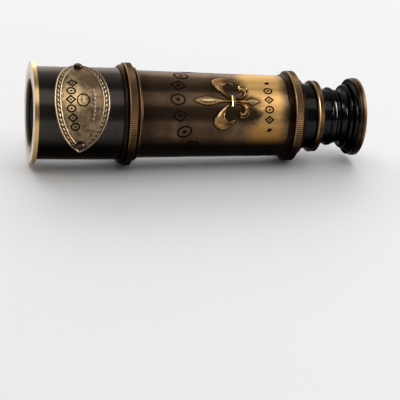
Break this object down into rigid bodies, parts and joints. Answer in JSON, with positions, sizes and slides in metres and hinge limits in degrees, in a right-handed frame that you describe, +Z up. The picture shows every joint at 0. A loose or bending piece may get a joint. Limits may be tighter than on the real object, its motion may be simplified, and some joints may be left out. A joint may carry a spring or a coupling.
{
  "type": "spyglass",
  "caption": "Pocket spyglass in aged brass: a tapered barrel with knurled rings, an oval plate and a fleur-de-lis, and nested draw tubes that slide out behind it.",
  "frame": {"origin": "centre of the objective rim's front edge, on the optical axis", "axes": "+X along the optical axis from the objective to the eyepiece, +Z up as the instrument lies, with the oval plate on the -Y side above the middle"},
  "size_m": [0.1705, 0.0516, 0.0516],
  "materials": {
    "rim_brass": "polished, worn",
    "aged_brass": "aged, with a brown patina",
    "dark_bronze": "dark patina",
    "ring_bronze": "aged bronze",
    "gilt_brass": "worn gilt",
    "plate_copper": "matt, mottled",
    "draw_brass": "smooth, lightly worn",
    "inner_brass": "satin",
    "black_enamel": "gloss",
    "optical_black": "matt",
    "dark_steel": "satin",
    "lens_glass": "clear"
  },
  "bodies": {
    "barrel": {"objective_bezel": "rim_brass", "objective_cell": "inner_brass", "crown_lens": "lens_glass", "flint_lens": "lens_glass", "objective_retainer": "inner_brass", "front_tube": "dark_bronze", "light_baffle": "optical_black", "oval_plate": "plate_copper", "plate_screws": "dark_steel", "joint_ring": "ring_bronze", "main_barrel": "aged_brass", "fleur_ornament": "gilt_brass", "barrel_end_ring": "ring_bronze", "guide_sleeve_1": "inner_brass"},
    "draw_1": {"draw_tube_1": "draw_brass", "stop_ring_1": "inner_brass", "draw_collar_1": "black_enamel", "collar_rim_1": "ring_bronze", "guide_sleeve_2": "inner_brass"},
    "draw_2": {"draw_tube_2": "draw_brass", "stop_ring_2": "inner_brass", "draw_collar_2": "black_enamel", "guide_sleeve_3": "inner_brass"},
    "draw_3": {"draw_tube_3": "draw_brass", "stop_ring_3": "inner_brass", "eyepiece_body": "black_enamel", "eyepiece_rim": "ring_bronze", "eye_cup": "black_enamel", "eye_lens": "lens_glass", "eye_lens_retainer": "inner_brass", "eyepiece_spacer": "inner_brass", "field_stop": "optical_black", "field_lens": "lens_glass", "erector_cell": "inner_brass", "erector_lens_front": "lens_glass", "erector_lens_rear": "lens_glass", "erector_stop": "optical_black", "erector_retainers": "inner_brass"}
  },
  "joints": [
    {"name": "draw_1_slide", "type": "slide", "parent": "barrel", "child": "draw_1", "axis": [1, 0, 0], "range_m": [0, 0.084]},
    {"name": "draw_2_slide", "type": "slide", "parent": "draw_1", "child": "draw_2", "axis": [1, 0, 0], "range_m": [0, 0.098]},
    {"name": "draw_3_slide", "type": "slide", "parent": "draw_2", "child": "draw_3", "axis": [1, 0, 0], "range_m": [0, 0.1]}
  ]
}
